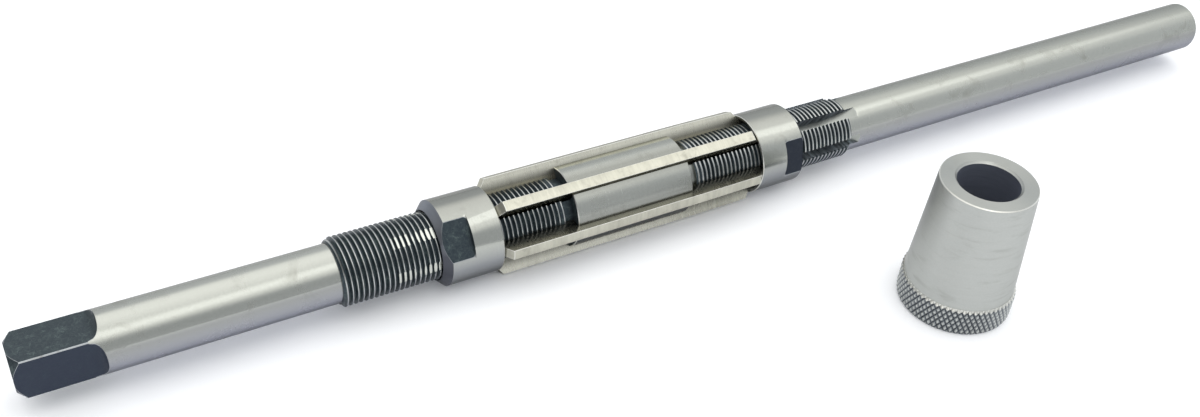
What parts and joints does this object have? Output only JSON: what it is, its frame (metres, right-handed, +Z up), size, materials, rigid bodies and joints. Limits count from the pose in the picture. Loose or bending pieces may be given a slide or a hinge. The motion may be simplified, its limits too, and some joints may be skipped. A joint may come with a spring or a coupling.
{
  "type": "adjustable hand reamer",
  "caption": "Expanding hand reamer: straight blades in sloping slots held between ring nuts, with a square drive end, a long plain pilot and a knurled taper guide bush.",
  "frame": {"origin": "centre of the end face of the driving square, on the axis of the tool", "axes": "+X along the tool towards the pilot, +Z up, with the tool lying on its lower blades"},
  "size_m": [0.2991, 0.0727, 0.0304],
  "materials": {
    "body_steel": "satin ground",
    "blade_steel": "fine ground",
    "nut_steel": "satin turned",
    "bush_steel": "satin turned"
  },
  "bodies": {
    "reamer": {"reamer_body": "body_steel", "guide_bush": "bush_steel"},
    "shank_nut_body": {"shank_nut": "nut_steel"},
    "pilot_nut_body": {"pilot_nut": "nut_steel"},
    "blade_1_body": {"blade_1": "blade_steel"},
    "blade_2_body": {"blade_2": "blade_steel"},
    "blade_3_body": {"blade_3": "blade_steel"},
    "blade_4_body": {"blade_4": "blade_steel"},
    "blade_5_body": {"blade_5": "blade_steel"},
    "blade_6_body": {"blade_6": "blade_steel"}
  },
  "joints": [
    {"name": "shank_nut_slide", "type": "slide", "parent": "reamer", "child": "shank_nut_body", "axis": [1, 0, 0], "range_m": [-0.01375, 0.00748]},
    {"name": "pilot_nut_slide", "type": "slide", "parent": "reamer", "child": "pilot_nut_body", "axis": [1, 0, 0], "range_m": [-0.01303, 0.00709]},
    {"name": "blade_1_slide", "type": "slide", "parent": "reamer", "child": "blade_1_body", "axis": [0.9993, -0.0384, 0], "range_m": [-0.01341, 0.00729]},
    {"name": "blade_2_slide", "type": "slide", "parent": "reamer", "child": "blade_2_body", "axis": [0.9993, -0.0192, -0.0333], "range_m": [-0.01341, 0.00729]},
    {"name": "blade_3_slide", "type": "slide", "parent": "reamer", "child": "blade_3_body", "axis": [0.9993, 0.0192, -0.0333], "range_m": [-0.01341, 0.00729]},
    {"name": "blade_4_slide", "type": "slide", "parent": "reamer", "child": "blade_4_body", "axis": [0.9993, 0.0384, 0], "range_m": [-0.01341, 0.00729]},
    {"name": "blade_5_slide", "type": "slide", "parent": "reamer", "child": "blade_5_body", "axis": [0.9993, 0.0192, 0.0333], "range_m": [-0.01341, 0.00729]},
    {"name": "blade_6_slide", "type": "slide", "parent": "reamer", "child": "blade_6_body", "axis": [0.9993, -0.0192, 0.0333], "range_m": [-0.01341, 0.00729]}
  ],
  "couplings": [
    {"joint": "pilot_nut_slide", "follows": "shank_nut_slide", "ratio": 0.94755},
    {"joint": "blade_1_slide", "follows": "shank_nut_slide", "ratio": 0.9745},
    {"joint": "blade_2_slide", "follows": "shank_nut_slide", "ratio": 0.9745},
    {"joint": "blade_3_slide", "follows": "shank_nut_slide", "ratio": 0.9745},
    {"joint": "blade_4_slide", "follows": "shank_nut_slide", "ratio": 0.9745},
    {"joint": "blade_5_slide", "follows": "shank_nut_slide", "ratio": 0.9745},
    {"joint": "blade_6_slide", "follows": "shank_nut_slide", "ratio": 0.9745}
  ]
}
